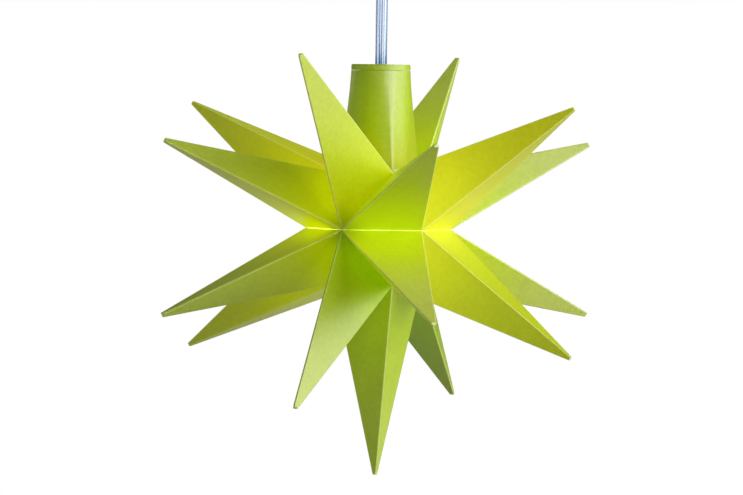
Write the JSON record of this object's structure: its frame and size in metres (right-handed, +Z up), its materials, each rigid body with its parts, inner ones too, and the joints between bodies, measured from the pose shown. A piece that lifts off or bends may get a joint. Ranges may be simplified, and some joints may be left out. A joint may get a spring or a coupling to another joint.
{
  "type": "star light",
  "caption": "Hanging star light: long hollow translucent plastic points clipped together round an LED lamp unit, on a clear flat twin cord from a ceiling rose.",
  "frame": {"origin": "middle of the ceiling plate's upper face, on the ceiling and between its two screw holes", "axes": "+Z up, out of the plate into the ceiling; +X along the two screw holes; -Y the way the front cap faces"},
  "size_m": [0.1042, 0.0868, 0.146],
  "materials": {
    "lime_plastic": "translucent lime green, satin",
    "white_plastic": "smooth white",
    "block_plastic": "plain moulded",
    "zinc_steel": "zinc plated",
    "screw_steel": "plated screws",
    "spring_steel": "bright spring",
    "brass": "plain",
    "brown_wire": "insulation",
    "blue_wire": "insulation",
    "clear_cord": "clear, with a blue tint",
    "board": "solder mask",
    "led": "phosphor",
    "frosted_plastic": "frosted"
  },
  "bodies": {
    "rose": {"ceiling_plate": "zinc_steel", "ceiling_cover": "white_plastic", "cover_screws": "screw_steel", "terminal_block": "block_plastic", "terminal_sleeves": "brass", "terminal_screws": "screw_steel", "feed_wire_live": "brown_wire", "feed_wire_neutral": "blue_wire"},
    "cord": {"cord": "clear_cord", "upper_cord_ball": "clear_cord", "lower_cord_ball": "clear_cord"},
    "lamp_unit": {"holder_cap": "lime_plastic", "holder_tube": "block_plastic", "retaining_ring": "spring_steel", "lamp_wire_live": "brown_wire", "lamp_wire_neutral": "blue_wire", "led_socket": "block_plastic", "contact_pins": "brass", "led_board": "board", "led_chip": "led", "light_diffuser": "frosted_plastic"},
    "star": {"neck": "lime_plastic", "right_upper_point": "lime_plastic", "left_upper_point": "lime_plastic", "left_lower_point": "lime_plastic", "bottom_point": "lime_plastic", "right_lower_point": "lime_plastic", "front_right_upper_point": "lime_plastic", "front_top_point": "lime_plastic", "front_left_upper_point": "lime_plastic", "front_left_lower_point": "lime_plastic", "front_bottom_point": "lime_plastic", "front_right_lower_point": "lime_plastic", "back_right_upper_point": "lime_plastic", "back_top_point": "lime_plastic", "back_left_upper_point": "lime_plastic", "back_left_lower_point": "lime_plastic", "back_bottom_point": "lime_plastic", "back_right_lower_point": "lime_plastic"}
  },
  "joints": [
    {"name": "cord_swing", "type": "hinge", "parent": "rose", "child": "cord", "pos_m": [0, 0, -0.0164], "axis": [1, 0, 0], "range_deg": [-35, 35]},
    {"name": "star_tilt", "type": "hinge", "parent": "cord", "child": "lamp_unit", "pos_m": [0, 0, -0.05028], "axis": [0, 1, 0], "range_deg": [-12, 12]},
    {"name": "star_turn", "type": "hinge", "parent": "lamp_unit", "child": "star", "pos_m": [0, 0, -0.086], "axis": [0, 0, 1], "continuous": true}
  ]
}
